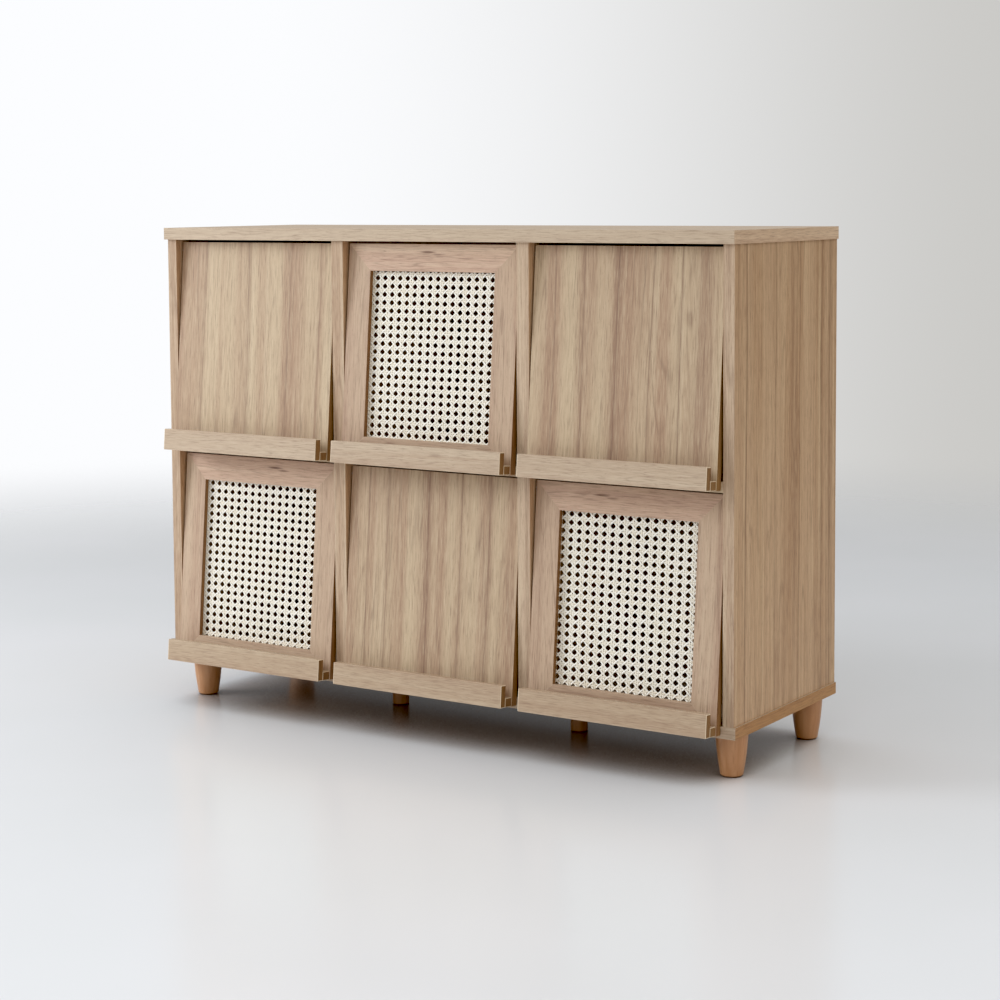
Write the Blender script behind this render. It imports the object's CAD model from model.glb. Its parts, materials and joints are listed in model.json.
"""Looks for the flap-door display cabinet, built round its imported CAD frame.

Lengths are in metres and angles in degrees. Every piece sits in the same frame as the CAD nodes:
the front faces -Y, +Z is up, and the floor is at z = 0.
"""
import json
import math
import random

import bpy
from mathutils import Matrix, Vector


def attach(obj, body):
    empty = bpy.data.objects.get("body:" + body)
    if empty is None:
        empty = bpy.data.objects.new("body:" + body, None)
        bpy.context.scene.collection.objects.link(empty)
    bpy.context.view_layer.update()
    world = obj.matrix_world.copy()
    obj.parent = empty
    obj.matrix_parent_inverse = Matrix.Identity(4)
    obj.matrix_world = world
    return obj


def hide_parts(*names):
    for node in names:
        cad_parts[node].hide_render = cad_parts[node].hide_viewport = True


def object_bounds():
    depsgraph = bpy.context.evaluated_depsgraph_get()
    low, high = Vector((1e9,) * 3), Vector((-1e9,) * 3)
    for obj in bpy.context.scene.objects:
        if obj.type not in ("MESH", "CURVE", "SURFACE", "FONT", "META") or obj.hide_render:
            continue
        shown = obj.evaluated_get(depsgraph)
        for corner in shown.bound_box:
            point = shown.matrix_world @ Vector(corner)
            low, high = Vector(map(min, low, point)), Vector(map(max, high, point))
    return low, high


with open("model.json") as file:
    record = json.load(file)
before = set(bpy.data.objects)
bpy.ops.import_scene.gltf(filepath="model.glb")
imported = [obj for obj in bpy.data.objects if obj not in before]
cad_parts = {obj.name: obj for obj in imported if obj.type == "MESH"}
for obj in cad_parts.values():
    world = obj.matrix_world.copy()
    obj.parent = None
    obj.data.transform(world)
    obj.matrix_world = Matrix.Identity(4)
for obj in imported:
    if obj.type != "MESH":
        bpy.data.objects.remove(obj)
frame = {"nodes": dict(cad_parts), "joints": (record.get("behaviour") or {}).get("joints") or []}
cad_low, cad_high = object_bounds()

# Camera: where it stands, where it points and what it takes in
CAMERA_AT = (2.155, -3.2509, 0.9599)
CAMERA_AZIMUTH = 33.06
CAMERA_TILT = -4.67
CAMERA_ROLL = -0.37
CAMERA_LENS = 77.62
CAMERA_SENSOR = 36
CAMERA_SHIFT_Y = -0.13

# Studio
SKY_STRENGTH = 1.09
WINDOW_AT = (-3.3, -2.2, 1.7)
WINDOW_SIZE = 1.7
WINDOW_POWER = 90
WINDOW_TINT = (0.96, 0.98, 1.0)
BLACK_LEVEL = 0.012
FLOOR_RADIUS = 4.4
# How near a piece has to be to deepen the floor's colour
COVER_REACH = 0.3

# Doors
DOOR_TILT = 5
ROWS = ("upper", "lower")
BAYS = ("left", "middle", "right")
CANE_DOORS = ("upper_middle", "lower_left", "lower_right")

# Cane webbing, in the door's own frame: x across, z up from the hinge pins
HOLE_PITCH_X = 0.0163
HOLE_PITCH_Z = 0.0146
# For each cane door, how far its middle strands stand from the middle, and its top row of holes
CANE_SETTING = {
    "upper_middle": (0, -0.0306),
    "lower_left": (0, -0.0392),
    "lower_right": (-0.0082, -0.0384),
}
CANE_Y = 0.0025
CANE_HALF_WIDTH = 0.1405
CANE_TOP = -0.025
CANE_BOTTOM = -0.337
STRAND_THICKNESS = 0.00055
UPRIGHT_STRAND = 0.0033
LEVEL_STRAND = 0.00265
SLANT_STRAND = 0.0028
UPRIGHT_GAP = 0.0006
LEVEL_GAP = 0.0003
PAIR_RISE = 0.00035
SLANT_RISE = 0.00062
SLANT_TONE = 0.0
PAIR_TONE = 0.5
TONE_SPREAD = 0.25
STEPS_PER_HOLE = 6
# In hole pitches: a slanting strand shorter than this is left out of the corners
SHORTEST_SLANT = 0.3


# ---------------------------------------------------------------- shader wiring


class Wire:
    """One shader output, which plain arithmetic can build on."""

    def __init__(self, tree, socket):
        self.tree = tree
        self.socket = socket

    def math(self, operation, *others):
        node = self.tree.nodes.new("ShaderNodeMath")
        node.operation = operation
        for socket, value in zip(node.inputs, (self, *others)):
            plug(self.tree, socket, value)
        return Wire(self.tree, node.outputs[0])

    def __add__(self, other):
        return self.math("ADD", other)

    def __sub__(self, other):
        return self.math("SUBTRACT", other)

    def __mul__(self, other):
        return self.math("MULTIPLY", other)

    def __truediv__(self, other):
        return self.math("DIVIDE", other)

    def size(self):
        return self.math("ABSOLUTE")

    def step(self, low, high):
        """0 below low, 1 above high and smooth between them."""
        node = self.tree.nodes.new("ShaderNodeMapRange")
        node.interpolation_type = "SMOOTHSTEP"
        plug(self.tree, node.inputs["Value"], self)
        plug(self.tree, node.inputs["From Min"], low)
        plug(self.tree, node.inputs["From Max"], high)
        return Wire(self.tree, node.outputs["Result"])

    def ridge(self, centre, half_width):
        """1 at centre, fading to 0 at half_width either side."""
        near = (self - centre).size() / half_width
        return near.step(1, 0)

    def between(self, other, share):
        """This value where share is 0, the other where it is 1."""
        node = self.tree.nodes.new("ShaderNodeMix")
        plug(self.tree, node.inputs["Factor"], share)
        plug(self.tree, node.inputs["A"], self)
        plug(self.tree, node.inputs["B"], other)
        return Wire(self.tree, node.outputs["Result"])


def plug(tree, socket, value):
    if isinstance(value, Wire):
        tree.links.new(value.socket, socket)
    else:
        socket.default_value = value


def blend_colour(tree, share, first, second):
    """first where share is 0, second where it is 1. Each is a colour or a wire."""
    node = tree.nodes.new("ShaderNodeMix")
    node.data_type = "RGBA"
    plug(tree, node.inputs["Factor"], share)
    plug(tree, node.inputs[6], first)
    plug(tree, node.inputs[7], second)
    return Wire(tree, node.outputs[2])


def tinted(tree, share, colour, tint):
    """colour where share is 0, and colour times tint, three linear multipliers, where it is 1."""
    node = tree.nodes.new("ShaderNodeMix")
    node.data_type = "RGBA"
    node.blend_type = "MULTIPLY"
    plug(tree, node.inputs["Factor"], share)
    plug(tree, node.inputs[6], colour)
    plug(tree, node.inputs[7], (*tint, 1))
    return Wire(tree, node.outputs[2])


def linear(red, green, blue):
    """A display colour, 0 to 255 a channel, as the linear colour that a shader takes."""
    shares = [channel / 255 for channel in (red, green, blue)]
    return (*[s / 12.92 if s <= 0.04045 else ((s + 0.055) / 1.055) ** 2.4 for s in shares], 1)


def point(tree, x, y, z):
    node = tree.nodes.new("ShaderNodeCombineXYZ")
    for socket, value in zip(node.inputs, (x, y, z)):
        plug(tree, socket, value)
    return Wire(tree, node.outputs[0])


def parts_of(tree, vector):
    node = tree.nodes.new("ShaderNodeSeparateXYZ")
    plug(tree, node.inputs[0], vector)
    return [Wire(tree, output) for output in node.outputs]


def coordinates(tree, origin, tilt):
    """The surface point's x, y and z, from origin, in a frame leaned over by tilt degrees."""
    source = tree.nodes.new("ShaderNodeTexCoord")
    mapping = tree.nodes.new("ShaderNodeMapping")
    lean = math.radians(tilt)
    turned = Matrix.Rotation(lean, 3, "X") @ Vector(origin)
    mapping.inputs["Location"].default_value = -turned
    mapping.inputs["Rotation"].default_value = (lean, 0, 0)
    tree.links.new(source.outputs["Object"], mapping.inputs["Vector"])
    return parts_of(tree, Wire(tree, mapping.outputs[0]))


def facing(tree):
    """How far the surface faces along X, Y and Z, each from 0 to 1."""
    source = tree.nodes.new("ShaderNodeTexCoord")
    return [part.size() for part in parts_of(tree, Wire(tree, source.outputs["Normal"]))]


def noise(tree, vector, detail=2):
    """Noise from about -1 to 1."""
    node = tree.nodes.new("ShaderNodeTexNoise")
    plug(tree, node.inputs["Vector"], vector)
    node.inputs["Scale"].default_value = 1
    node.inputs["Detail"].default_value = detail
    node.inputs["Roughness"].default_value = 0.5
    return (Wire(tree, node.outputs[0]) - 0.5) * 2.6


def new_material(name):
    material = bpy.data.materials.new(name)
    material.use_nodes = True
    return material, material.node_tree, material.node_tree.nodes["Principled BSDF"]


def emboss(tree, shader, height, depth, strength):
    bump = tree.nodes.new("ShaderNodeBump")
    bump.inputs["Strength"].default_value = strength
    bump.inputs["Distance"].default_value = depth
    plug(tree, bump.inputs["Height"], height)
    tree.links.new(bump.outputs["Normal"], shader.inputs["Normal"])


# ---------------------------------------------------------------- oak

OAK_TAN = linear(199, 178, 149)
OAK_ROSE = linear(176, 147, 122)
OAK_PALE = linear(212, 194, 166)
OAK_STREAK = linear(150, 120, 99)
OAK_LINE = linear(112, 82, 66)
EDGE_LIGHT = linear(236, 220, 194)


class Grain:
    """Coordinates that follow the wood: across it, into it and along it.

    axes names them in that order, such as "xyz" for a door whose grain runs up."""

    def __init__(self, tree, axes, origin, tilt, seed):
        self.tree = tree
        self.seed = seed
        place = dict(zip("xyz", coordinates(tree, origin, tilt)))
        turned = dict(zip("xyz", facing(tree)))
        across, deep, along = (place[axis] for axis in axes)
        end = turned[axes[2]].step(0.69, 0.71)
        self.along = along.between(across, end)
        straight = across.between(along, end)
        self.deep = deep
        sway = self.sample_at(straight, 0.11, 0.42, 0)
        wiggle = self.sample_at(straight, 0.03, 0.11, 1)
        self.across = straight + sway * 0.0034 + wiggle * 0.0007
        self.sideways = turned["x"].step(0.8, 0.95)
        flattest = turned["x"].math("MAXIMUM", turned["y"]).math("MAXIMUM", turned["z"])
        self.rounded = flattest.step(0.985, 0.96)

    def sample_at(self, across, width, length, detail):
        """Noise whose marks are about width across and length along the grain."""
        self.seed += 1
        shift = self.seed * 3.71
        spot = point(self.tree, across / width + shift, self.deep / width, self.along / length)
        return noise(self.tree, spot, detail)

    def sample(self, width, length, detail=2):
        return self.sample_at(self.across, width, length, detail)


def oak(name, axes, origin=(0, 0, 0), tilt=0, seed=0, streaks=(), knots=(), tones=None, bold=1,
        figure=(0.052, 0.9), lines=0.42, end_tint=(0.54, 0.39, 0.23), edge=0.5):
    """Oak-print board.

    A streak is (place across, half width, depth of colour, depth of its hairline), and a knot
    is (place across, place along, half width, half length, depth of colour). tones are the
    board's tan, rose, pale and dark, and bold is the contrast of its stripes. figure is the
    width and length of the contour lines and lines is their depth of colour. end_tint
    multiplies the colour of the faces that look along X, and edge lightens the rounded edges."""
    material, tree, shader = new_material(name)
    tan, rose, pale, dark = tones or (OAK_TAN, OAK_ROSE, OAK_PALE, OAK_STREAK)
    grain = Grain(tree, axes, origin, tilt, seed)

    bands = grain.sample(0.040, 2.0, 1)
    stripes = grain.sample(0.011, 0.9)
    threads = grain.sample(0.0032, 0.20)
    fibres = grain.sample(0.0016, 0.030)
    pores = grain.sample(0.0011, 0.009)
    contour = grain.sample(*figure, 1)
    rings = (contour * 3.2).math("FRACT") - 0.5

    colour = blend_colour(tree, bands.step(-0.4, 0.45), tan, rose)
    colour = blend_colour(tree, stripes.step(0.0, 0.75) * 0.42 * bold, colour, pale)
    colour = blend_colour(tree, stripes.step(-0.05, -0.8) * 0.25 * bold, colour, dark)
    for place, half_width, depth, hairline in streaks:
        body = (grain.across + contour * 0.004).ridge(place, half_width)
        core = (grain.across + contour * 0.008).ridge(place, 0.0022)
        colour = blend_colour(tree, body * depth, colour, dark)
        broken = threads.step(-0.9, 0.3) * hairline
        colour = blend_colour(tree, core * broken, colour, OAK_LINE)
    for across, along, half_width, half_length, depth in knots:
        squeezed = (grain.across - across + contour * 0.002) / half_width
        stretched = (grain.along - along) / half_length
        away = (squeezed * squeezed + stretched * stretched).math("SQRT")
        colour = blend_colour(tree, away.step(1.0, 0.15) * depth, colour, OAK_LINE)
    fine_line = rings.ridge(0, 0.10) * threads.step(-0.5, 0.4)
    colour = blend_colour(tree, fine_line * lines, colour, OAK_LINE)
    colour = blend_colour(tree, threads.step(-0.1, 0.8) * 0.22 * bold, colour, pale)
    colour = blend_colour(tree, threads.step(0.1, -0.8) * 0.20 * bold, colour, dark)
    colour = blend_colour(tree, fibres.step(0.0, 0.7) * 0.45, colour, pale)
    colour = blend_colour(tree, fibres.step(0.0, -0.7) * 0.42, colour, OAK_LINE)
    colour = blend_colour(tree, pores.step(0.2, 0.7) * 0.30, colour, OAK_LINE)
    colour = tinted(tree, grain.sideways, colour, end_tint)
    colour = blend_colour(tree, grain.rounded * edge, colour, EDGE_LIGHT)
    plug(tree, shader.inputs["Base Color"], colour)

    plug(tree, shader.inputs["Roughness"], fibres * 0.05 + 0.56)
    shader.inputs["Specular IOR Level"].default_value = 0.38
    emboss(tree, shader, fibres * 0.6 + threads * 0.4, 0.00015, 0.6)
    return material


# ---------------------------------------------------------------- other materials


def leg_wood(name, seed):
    """Turned solid wood under a satin lacquer, its grain upright."""
    material, tree, shader = new_material(name)
    grain = Grain(tree, "xyz", (0, 0, 0), 0, seed)
    bands = grain.sample(0.012, 0.3)
    flecks = grain.sample(0.0011, 0.006)
    threads = grain.sample(0.003, 0.09)
    place_up = coordinates(tree, (0, 0, 0), 0)[2]
    colour = blend_colour(tree, bands.step(-0.8, 0.8), linear(198, 150, 110), linear(178, 126, 83))
    colour = blend_colour(tree, threads.step(0, 1) * 0.5, colour, linear(158, 103, 62))
    colour = blend_colour(tree, flecks.step(0.35, 0.8) * 0.35, colour, linear(136, 84, 50))
    foot = place_up.step(0.0035, 0.0015)
    colour = blend_colour(tree, foot * 0.7, colour, linear(80, 48, 28))
    plug(tree, shader.inputs["Base Color"], colour)
    plug(tree, shader.inputs["Roughness"], threads * 0.05 + 0.42)
    shader.inputs["Coat Weight"].default_value = 0.15
    shader.inputs["Coat Roughness"].default_value = 0.3
    emboss(tree, shader, threads * 0.6 + flecks * 0.3, 0.0001, 0.4)
    return material


def back_board():
    """Thin hardboard with a plain printed face."""
    material, tree, shader = new_material("back_board")
    grain = Grain(tree, "xyz", (0, 0, 0), 0, 70)
    clouds = grain.sample(0.08, 0.5)
    threads = grain.sample(0.005, 0.14)
    specks = grain.sample(0.0015, 0.006)
    colour = blend_colour(tree, clouds.step(-0.8, 0.8), linear(196, 172, 144), linear(184, 158, 130))
    colour = blend_colour(tree, threads.step(0, 1) * 0.35, colour, linear(160, 132, 106))
    colour = blend_colour(tree, specks.step(0.2, 1) * 0.3, colour, linear(146, 118, 94))
    plug(tree, shader.inputs["Base Color"], colour)
    plug(tree, shader.inputs["Roughness"], specks * 0.06 + 0.68)
    emboss(tree, shader, specks, 0.0001, 0.4)
    return material


def cane_material():
    """Peeled cane: cream, glossy on the bark side, with each strand a little different."""
    material, tree, shader = new_material("cane")
    place = coordinates(tree, (0, 0, 0), 0)
    attribute = tree.nodes.new("ShaderNodeAttribute")
    attribute.attribute_name = "strand_tone"
    tone = Wire(tree, attribute.outputs["Fac"])
    patches = noise(tree, point(tree, *[part / 0.03 for part in place]))
    flecks = noise(tree, point(tree, *[part / 0.0012 for part in place]))
    share = (tone + patches * 0.12).step(0, 1)
    colour = blend_colour(tree, share, linear(255, 254, 248), linear(232, 223, 202))
    colour = blend_colour(tree, flecks.step(0.2, 1) * 0.3, colour, linear(214, 196, 164))
    plug(tree, shader.inputs["Base Color"], colour)
    plug(tree, shader.inputs["Roughness"], flecks * 0.06 + 0.42)
    shader.inputs["Specular IOR Level"].default_value = 0.5
    emboss(tree, shader, flecks, 0.00008, 0.4)
    return material


def metal(name, tint, roughness):
    """Turned or plated metal, with fine tool marks and cloudy plating."""
    material, tree, shader = new_material(name)
    place = coordinates(tree, (0, 0, 0), 0)
    clouds = noise(tree, point(tree, *[part / 0.004 for part in place]))
    marks = noise(tree, point(tree, place[0] / 0.0003, place[1] / 0.003, place[2] / 0.003))
    shade = tuple(channel * 0.72 for channel in tint[:3])
    colour = blend_colour(tree, clouds.step(-0.6, 1), tint, (*shade, 1))
    plug(tree, shader.inputs["Base Color"], colour)
    plug(tree, shader.inputs["Roughness"], marks * 0.06 + clouds * 0.05 + roughness)
    shader.inputs["Metallic"].default_value = 1
    emboss(tree, shader, marks, 0.00003, 0.3)
    return material


def dowel_wood():
    """Raw beech, its grain along the dowel."""
    material, tree, shader = new_material("dowel_wood")
    grain = Grain(tree, "zyx", (0, 0, 0), 0, 90)
    threads = grain.sample(0.0012, 0.03)
    colour = blend_colour(tree, threads.step(-0.7, 0.9), linear(226, 200, 160), linear(196, 164, 122))
    plug(tree, shader.inputs["Base Color"], colour)
    plug(tree, shader.inputs["Roughness"], threads * 0.05 + 0.7)
    emboss(tree, shader, threads, 0.0001, 0.4)
    return material


# ---------------------------------------------------------------- dressing the CAD nodes


def dress(node, material):
    """Gives a CAD node its material in every slot."""
    slots = frame["nodes"][node].data.materials
    for index in range(len(slots)):
        slots[index] = material


def soften(node, width):
    """Rounds a board's sharp edges by width, so that they catch the light."""
    piece = frame["nodes"][node]
    weld = piece.modifiers.new("weld", "WELD")
    weld.merge_threshold = 0.00001
    bevel = piece.modifiers.new("edges", "BEVEL")
    bevel.width = width
    bevel.segments = 2
    bevel.limit_method = "ANGLE"
    bevel.angle_limit = math.radians(40)
    bevel.use_clamp_overlap = True
    bevel.harden_normals = True


def board(node, rounding, axes, *place, **looks):
    """Gives a board its own oak, and rounds its edges."""
    dress(node, oak(node, axes, *place, **looks))
    soften(node, rounding)


# Tan, rose, pale and dark of the boards that differ from plain oak
LEDGE_TONES = (linear(197, 178, 155), linear(185, 162, 139),
               linear(212, 196, 173), linear(154, 128, 107))
LOWER_LEDGE_TONES = (linear(189, 168, 143), linear(177, 152, 128),
                     linear(205, 187, 162), linear(147, 120, 98))
FRAME_TONES = (linear(195, 170, 146), linear(183, 154, 132),
               linear(206, 185, 159), linear(151, 120, 100))
TOP_RAIL_TONES = (linear(211, 183, 159), linear(198, 167, 146),
                  linear(222, 200, 175), linear(163, 131, 111))
SIDE_TONES = (linear(199, 175, 150), linear(184, 156, 130),
              linear(213, 194, 167), linear(151, 122, 101))

# Multipliers for the faces that look along X
SIDE_TINT = (1.10, 1.01, 0.90)
TOP_TINT = (1.36, 1.30, 1.26)
BOTTOM_TINT = (0.88, 0.62, 0.38)

# Width and length of the contour lines of narrow boards
WAVY = (0.020, 0.34)

# Streaks of every side and partition. Their places are along Y.
SIDE_STREAKS = (
    (0.195, 0.016, 0.6, 0.6),
    (0.160, 0.008, 0.5, 0.6),
    (-0.130, 0.006, 0.5, 0.7),
    (-0.02, 0.012, 0.3, 0.3),
    (0.07, 0.006, 0.3, 0.5),
)

# Each slab door's streaks: place across the door, half width, depth and hairline
DOOR_STREAKS = {
    "upper_left": (
        (-0.124, 0.004, 0.35, 0.5),
        (-0.018, 0.012, 0.45, 0.25),
        (0.080, 0.008, 0.4, 0.3),
        (0.150, 0.006, 0.3, 0.3),
    ),
    "upper_right": (
        (-0.141, 0.003, 0.3, 0.45),
        (-0.083, 0.009, 0.35, 0.5),
        (-0.016, 0.015, 0.75, 0.7),
        (0.054, 0.004, 0.3, 0.55),
        (0.105, 0.004, 0.4, 0.6),
        (0.142, 0.034, 0.35, 0.3),
    ),
    "lower_middle": (
        (-0.140, 0.003, 0.3, 0.4),
        (-0.010, 0.014, 0.6, 0.6),
        (0.062, 0.006, 0.4, 0.5),
        (-0.098, 0.010, 0.4, 0.4),
        (0.120, 0.012, 0.45, 0.5),
    ),
}
DOOR_KNOTS = {
    "upper_left": (),
    "upper_right": ((0.119, -0.103, 0.009, 0.024, 0.4),),
    "lower_middle": ((-0.125, -0.250, 0.007, 0.020, 0.35),),
}
# Where the knot in each cane door's top rail lies, along the rail
RAIL_KNOT = {"upper_middle": -0.003, "lower_left": 0.040, "lower_right": -0.045}


def dress_carcass():
    for index, (node, tint) in enumerate((("top_panel", TOP_TINT), ("bottom_panel", BOTTOM_TINT))):
        board(node, 0.0012, "yzx", seed=10 + 20 * index, tones=LEDGE_TONES, figure=WAVY,
              lines=0.3, end_tint=tint, edge=0.9)
    for index, bay in enumerate(BAYS):
        board(f"{bay}_shelf", 0.0006, "yzx", seed=300 + 20 * index)
        dress(f"{bay}_back_panel", back)
    uprights = ("left_side_panel", "right_side_panel", "left_partition", "right_partition")
    for index, node in enumerate(uprights):
        board(node, 0.0007, "yxz", seed=400 + 20 * index, streaks=SIDE_STREAKS, tones=SIDE_TONES,
              bold=2.2, end_tint=SIDE_TINT)
    legs = ("front_left", "front_right", "middle_left", "middle_right", "rear_left", "rear_right")
    for index, place in enumerate(legs):
        dress(f"{place}_leg", leg_wood(f"{place}_leg_wood", 500 + 10 * index))
    dress("wooden_dowels", dowel_wood())
    dress("leg_bolts", zinc_plate)
    dress("cam_bolts", zinc_plate)
    dress("leg_insert_nuts", zinc_alloy)
    dress("cam_nuts", zinc_alloy)
    dress("door_support_pegs", pin_steel)


def dress_slab_door(door, pivot, seed):
    board(f"{door}_door_panel", 0.0009, "xyz", pivot, DOOR_TILT, seed=seed,
          streaks=DOOR_STREAKS[door], knots=DOOR_KNOTS[door])


def dress_cane_door(door, pivot, seed):
    middle = RAIL_KNOT[door]
    top_knots = (
        (-0.001, middle - 0.006, 0.0030, 0.022, 1),
        (-0.005, middle + 0.014, 0.0024, 0.016, 0.7),
    )
    rails = (("top_rail", top_knots, TOP_RAIL_TONES), ("bottom_rail", (), FRAME_TONES))
    for index, (rail, knots, tones) in enumerate(rails):
        board(f"{door}_{rail}", 0.0004, "zyx", pivot, DOOR_TILT, seed=seed + 10 * index,
              knots=knots, tones=tones, figure=WAVY)
    for index, stile in enumerate(("left_stile", "right_stile")):
        board(f"{door}_{stile}", 0.0004, "xyz", pivot, DOOR_TILT, seed=seed + 30 + 10 * index,
              tones=FRAME_TONES)


def dress_ledge(door, pivot, seed):
    tones = LEDGE_TONES if door.startswith("upper") else LOWER_LEDGE_TONES
    for index, part in enumerate(("ledge_strip", "ledge_lip")):
        board(f"{door}_{part}", 0.0014, "zyx", pivot, DOOR_TILT, seed=seed + 10 * index,
              tones=tones, figure=WAVY, lines=0.3, edge=1)


# ---------------------------------------------------------------- cane webbing


def hexagon(width):
    """A flat ribbon's section: offsets across it and through it."""
    half, flat, rise = width / 2, width * 0.28, STRAND_THICKNESS / 2
    return ((-half, 0), (-flat, -rise), (flat, -rise), (half, 0), (flat, rise), (-flat, rise))


class Webbing:
    """Collects the vertices and faces of every strand of one sheet.

    Holes are counted in pitches: a strand pair stands at every whole number, and a hole's
    middle lies at every whole number and a half across, and at every whole number down."""

    def __init__(self, setting, seed):
        self.shift, self.top_row = setting
        self.points = []
        self.faces = []
        self.tones = []
        self.chance = random.Random(seed)

    def x_at(self, column):
        return self.shift + column * HOLE_PITCH_X

    def z_at(self, row):
        return self.top_row - row * HOLE_PITCH_Z

    def column_at(self, x):
        return (x - self.shift) / HOLE_PITCH_X

    def row_at(self, z):
        return (self.top_row - z) / HOLE_PITCH_Z

    def strand(self, line, width, tone):
        """A ribbon along line, whose points are (x, depth, z)."""
        section = hexagon(width)
        start = len(self.points)
        first, last = Vector(line[0]), Vector(line[-1])
        run = Vector((last.x - first.x, 0, last.z - first.z)).normalized()
        aside = Vector((run.z, 0, -run.x))
        for spot in line:
            for across, through in section:
                self.points.append(Vector(spot) + aside * across + Vector((0, through, 0)))
        sides = len(section)
        for ring in range(len(line) - 1):
            for side in range(sides):
                after = (side + 1) % sides
                low = start + ring * sides
                high = low + sides
                self.faces.append((low + side, low + after, high + after, high + side))
        end = start + (len(line) - 1) * sides
        self.faces.append(tuple(range(start, start + sides))[::-1])
        self.faces.append(tuple(range(end, end + sides)))
        shade = tone + TONE_SPREAD * self.chance.random()
        self.tones += [shade] * (len(line) * sides)


def shares(first, last):
    """Evenly spaced places from first to last, a few to every hole."""
    count = max(2, round(abs(last - first) * STEPS_PER_HOLE))
    return [first + (last - first) * step / count for step in range(count + 1)]


def whole_between(first, last):
    return range(math.ceil(first), math.floor(last) + 1)


def pair_wave(turn):
    """How far a strand of a pair rises where it crosses the other pair, by share of a pitch."""
    angle = 2 * math.pi * turn
    return PAIR_RISE * 1.25 * math.sin(angle) * (1 - math.cos(angle)) / 2


def upright_pairs(web):
    """Pairs of strands between the columns of holes."""
    spread = (UPRIGHT_GAP + UPRIGHT_STRAND) / 2
    room = CANE_HALF_WIDTH - spread - UPRIGHT_STRAND
    for column in whole_between(web.column_at(-room), web.column_at(room)):
        for side in (-1, 1):
            line = []
            for row in shares(web.row_at(CANE_TOP), web.row_at(CANE_BOTTOM)):
                depth = CANE_Y + side * pair_wave(row)
                line.append((web.x_at(column) + side * spread, depth, web.z_at(row)))
            web.strand(line, UPRIGHT_STRAND, PAIR_TONE)


def level_pairs(web):
    """Pairs of strands between the rows of holes."""
    spread = (LEVEL_GAP + LEVEL_STRAND) / 2
    room = spread + LEVEL_STRAND
    first = web.row_at(CANE_TOP - room) - 0.5
    last = web.row_at(CANE_BOTTOM + room) - 0.5
    for row in whole_between(first, last):
        for side in (-1, 1):
            line = []
            for column in shares(web.column_at(-CANE_HALF_WIDTH), web.column_at(CANE_HALF_WIDTH)):
                depth = CANE_Y + side * pair_wave(column - 0.5)
                line.append((web.x_at(column), depth, web.z_at(row + 0.5) + side * spread))
            web.strand(line, LEVEL_STRAND, PAIR_TONE)


def slants(web):
    """Strands that cut the holes' corners, both ways, over one pair and under the other."""
    left, right = web.column_at(-CANE_HALF_WIDTH), web.column_at(CANE_HALF_WIDTH)
    top, bottom = web.row_at(CANE_TOP), web.row_at(CANE_BOTTOM)
    for lean in (-1, 1):
        reach = sorted((lean * left, lean * right))
        for offset in whole_between(top - reach[1], bottom - reach[0]):
            ends = sorted(((top - offset) / lean, (bottom - offset) / lean))
            begin, finish = max(left, ends[0]), min(right, ends[1])
            if finish - begin < SHORTEST_SLANT:
                continue
            line = []
            for column in shares(begin, finish):
                depth = CANE_Y - lean * SLANT_RISE * math.cos(2 * math.pi * column)
                line.append((web.x_at(column), depth, web.z_at(offset + lean * column)))
            web.strand(line, SLANT_STRAND, SLANT_TONE)


def weave_cane(door, pivot, seed):
    """The woven sheet of one cane door, in place of its plain CAD panel."""
    web = Webbing(CANE_SETTING[door], seed)
    upright_pairs(web)
    level_pairs(web)
    slants(web)
    mesh = bpy.data.meshes.new(f"{door}_cane_webbing")
    mesh.from_pydata(web.points, [], web.faces)
    mesh.transform(door_matrix(pivot))
    tone = mesh.attributes.new("strand_tone", "FLOAT", "POINT")
    tone.data.foreach_set("value", web.tones)
    mesh.polygons.foreach_set("use_smooth", [True] * len(mesh.polygons))
    mesh.materials.append(cane)
    piece = bpy.data.objects.new(f"{door}_cane_webbing", mesh)
    bpy.context.scene.collection.objects.link(piece)
    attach(piece, f"{door}_door")
    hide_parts(f"{door}_cane_panel")


def door_matrix(pivot):
    """From a door's own frame, upright on its pins, to where it hangs."""
    return Matrix.Translation(pivot) @ Matrix.Rotation(math.radians(-DOOR_TILT), 4, "X")


# ---------------------------------------------------------------- studio


def build_floor():
    """A pale, slightly glossy floor, deeper in colour where covered, that fades far away."""
    bpy.ops.mesh.primitive_circle_add(vertices=96, radius=FLOOR_RADIUS, fill_type="NGON")
    floor = bpy.context.object
    floor.name = "studio_floor"
    material, tree, shader = new_material("studio_floor")
    place = coordinates(tree, (0, 0, 0), 0)
    away = (place[0] * place[0] + place[1] * place[1]).math("SQRT")
    clouds = noise(tree, point(tree, place[0] * 2, place[1] * 2, place[2]))
    colour = blend_colour(tree, clouds.step(-1, 1), linear(230, 233, 237), linear(234, 236, 241))
    cover = tree.nodes.new("ShaderNodeAmbientOcclusion")
    cover.samples = 8
    cover.inputs["Distance"].default_value = COVER_REACH
    clear = Wire(tree, cover.outputs["AO"])
    colour = blend_colour(tree, clear.step(0.08, 0.62), linear(124, 110, 101), colour)
    plug(tree, shader.inputs["Base Color"], colour)
    shader.inputs["Roughness"].default_value = 0.2
    shader.inputs["Specular IOR Level"].default_value = 0.4
    plug(tree, shader.inputs["Alpha"], away.step(FLOOR_RADIUS * 0.97, FLOOR_RADIUS * 0.38))
    floor.data.materials.append(material)


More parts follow.
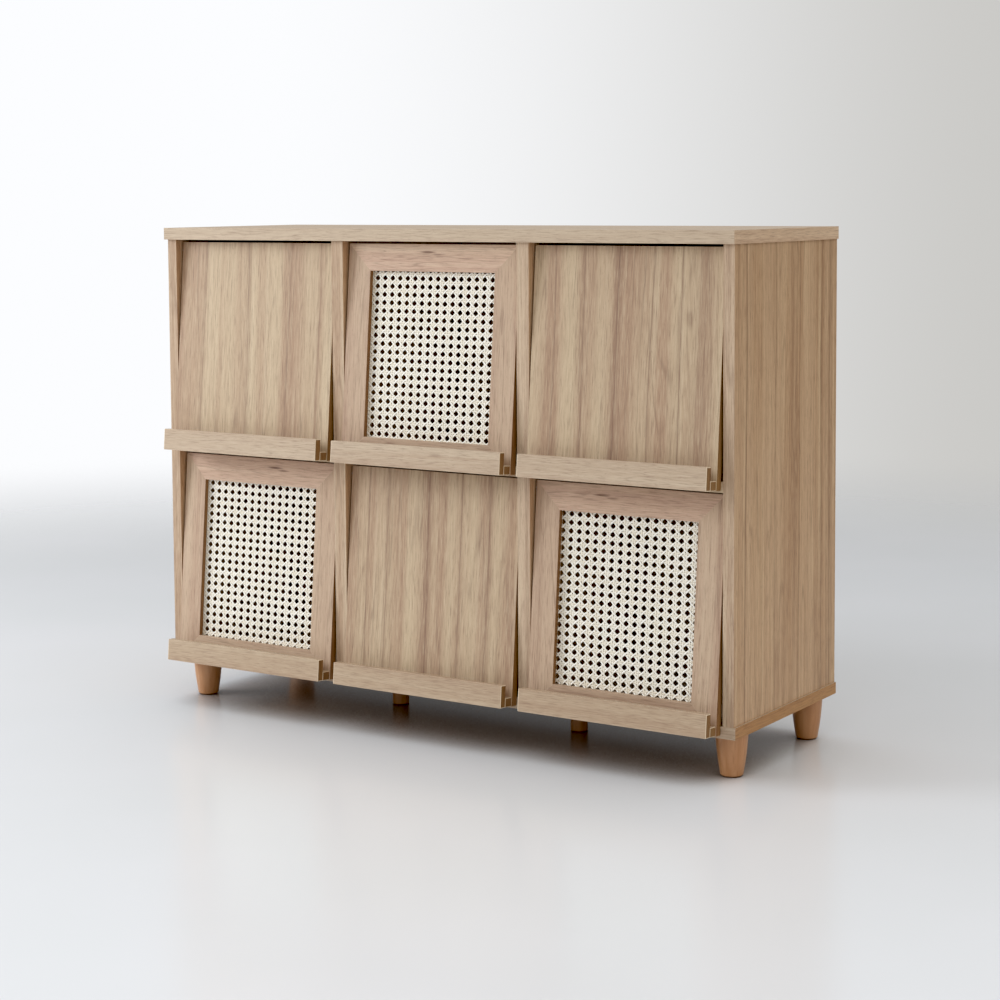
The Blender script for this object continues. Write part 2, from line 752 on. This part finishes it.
def hang_window():
    """A soft square light, turned to the middle of the cabinet."""
    data = bpy.data.lights.new("window", "AREA")
    data.size = WINDOW_SIZE
    data.energy = WINDOW_POWER
    data.color = WINDOW_TINT
    lamp = bpy.data.objects.new("window", data)
    bpy.context.scene.collection.objects.link(lamp)
    lamp.location = WINDOW_AT
    target = (cad_low + cad_high) / 2
    lamp.rotation_euler = (target - Vector(WINDOW_AT)).to_track_quat("-Z", "Y").to_euler()


def light_sky():
    """Soft daylight: cool from the left, warm from the right, dim low down and dimmer behind.

    In its place the camera sees a plain pale wall, which darkens towards +X."""
    world = bpy.data.worlds.new("studio")
    world.use_nodes = True
    tree = world.node_tree
    source = tree.nodes.new("ShaderNodeTexCoord")
    side, depth, height = parts_of(tree, Wire(tree, source.outputs["Generated"]))
    path = tree.nodes.new("ShaderNodeLightPath")
    seen = Wire(tree, path.outputs["Is Camera Ray"])
    light = blend_colour(tree, side.step(-1, 1), linear(245, 250, 255), linear(240, 234, 224))
    low = blend_colour(tree, side.step(-0.2, 0.9), linear(140, 137, 134), linear(200, 188, 174))
    low = blend_colour(tree, depth.step(-0.35, 0.2), low, linear(38, 33, 29))
    light = blend_colour(tree, height.step(0.5, 0.1), light, low)
    wall = blend_colour(tree, side.step(-0.64, -0.32), linear(252, 253, 255), linear(203, 202, 199))
    background = tree.nodes["Background"]
    plug(tree, background.inputs["Color"], blend_colour(tree, seen, light, wall))
    strength = Wire(tree, tree.nodes.new("ShaderNodeValue").outputs[0])
    strength.socket.default_value = SKY_STRENGTH
    plug(tree, background.inputs["Strength"], strength.between(1.0, seen))
    bpy.context.scene.world = world


def place_camera():
    data = bpy.data.cameras.new("camera")
    data.lens = CAMERA_LENS
    data.sensor_width = CAMERA_SENSOR
    data.shift_y = CAMERA_SHIFT_Y
    camera = bpy.data.objects.new("camera", data)
    bpy.context.scene.collection.objects.link(camera)
    turn = Matrix.Rotation(math.radians(CAMERA_AZIMUTH), 4, "Z")
    tip = Matrix.Rotation(math.radians(90 + CAMERA_TILT), 4, "X")
    roll = Matrix.Rotation(math.radians(CAMERA_ROLL), 4, "Z")
    camera.matrix_world = Matrix.Translation(CAMERA_AT) @ turn @ tip @ roll
    bpy.context.scene.camera = camera


def develop():
    """Plain colours, with shadows a little deeper."""
    view = bpy.context.scene.view_settings
    view.view_transform = "Standard"
    view.use_curve_mapping = True
    view.curve_mapping.black_level = (BLACK_LEVEL, BLACK_LEVEL, BLACK_LEVEL)
    view.curve_mapping.update()


# ---------------------------------------------------------------- the whole scene

place_camera()
build_floor()
light_sky()
hang_window()
develop()

back = back_board()
cane = cane_material()
pin_steel = metal("pin_steel", linear(205, 207, 210), 0.28)
zinc_plate = metal("zinc_plate", linear(200, 203, 208), 0.34)
zinc_alloy = metal("zinc_alloy", linear(170, 172, 175), 0.45)

dress_carcass()
pivots = {joint["child"]: Vector(joint["pos_m"]) for joint in frame["joints"]}
for row_number, row in enumerate(ROWS):
    for bay_number, bay in enumerate(BAYS):
        door = f"{row}_{bay}"
        seed = 1000 + 100 * (3 * row_number + bay_number)
        pivot = pivots[f"{door}_door"]
        if door in CANE_DOORS:
            dress_cane_door(door, pivot, seed)
            weave_cane(door, pivot, seed)
        else:
            dress_slab_door(door, pivot, seed)
        dress_ledge(door, pivot, seed + 60)
        dress(f"{door}_pivot_pins", pin_steel)
